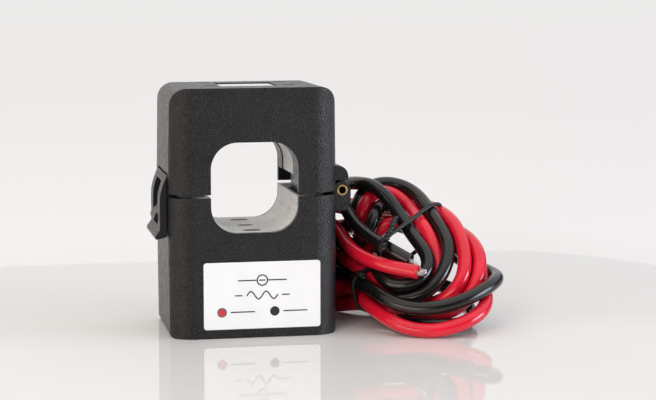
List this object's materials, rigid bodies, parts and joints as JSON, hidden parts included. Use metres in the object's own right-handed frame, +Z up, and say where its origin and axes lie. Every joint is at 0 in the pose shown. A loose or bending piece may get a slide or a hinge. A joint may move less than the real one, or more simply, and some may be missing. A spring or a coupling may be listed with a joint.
{
  "type": "current transformer",
  "caption": "Split-core current transformer with a rounded square conductor window, side hinge, snap latch and a tied pair of loose leads.",
  "frame": {"origin": "on the base plane, under the middle of the housing with its hinge and latch", "axes": "+Z up along the height of the housing, +X towards the hinge, -Y towards the labelled front, window axis along Y"},
  "size_m": [0.099, 0.064, 0.068],
  "materials": {
    "case_black": "fine-grained matt black moulded plastic",
    "liner_pale": "satin pale grey moulded plastic",
    "core_steel": "ground edges of stacked laminations",
    "bobbin_ivory": "satin moulded nylon",
    "copper_wire": "enamelled copper wire, close wound",
    "coil_tape": "glossy polyester tape",
    "board_green": "solder-masked circuit board",
    "diode_black": "moulded epoxy body",
    "pvc_red": "satin PVC insulation",
    "pvc_black": "satin PVC insulation",
    "grommet_black": "matt moulded rubber",
    "label_white": "satin coated label",
    "pin_brass": "bright rolled brass",
    "spring_steel": "blued spring steel",
    "pin_steel": "bright drawn steel",
    "tinned_wire": "tinned stranded copper",
    "tie_black": "matt plastic-covered tie wire"
  },
  "bodies": {
    "lower": {"lower_case": "case_black", "lower_liner": "liner_pale", "lower_core": "core_steel", "bobbin": "bobbin_ivory", "winding": "copper_wire", "winding_tape": "coil_tape", "terminal_board": "board_green", "clamp_diode": "diode_black", "splice_sleeve_red": "pvc_red", "splice_sleeve_black": "pvc_black", "lead_grommet": "grommet_black", "front_label": "label_white", "hinge_pin": "pin_brass", "lead_red": "pvc_red", "lead_black": "pvc_black", "lead_hank": "pvc_red", "tie_upper": "tie_black", "tie_lower": "tie_black", "tip_red": "tinned_wire", "tip_black": "tinned_wire"},
    "upper": {"upper_case": "case_black", "upper_liner": "liner_pale", "upper_core": "core_steel", "core_spring": "spring_steel", "top_label": "label_white", "latch_pin": "pin_steel"},
    "latch": {"latch_clip": "case_black"}
  },
  "joints": [
    {"name": "upper_swing", "type": "hinge", "parent": "lower", "child": "upper", "pos_m": [0.02475, 0, 0.0391], "axis": [0, 1, 0], "range_deg": [0, 90]},
    {"name": "latch_release", "type": "hinge", "parent": "upper", "child": "latch", "pos_m": [-0.0219, 0, 0.0454], "axis": [0, 1, 0], "range_deg": [0, 12], "stiffness_Nm_per_rad": 0.1}
  ]
}
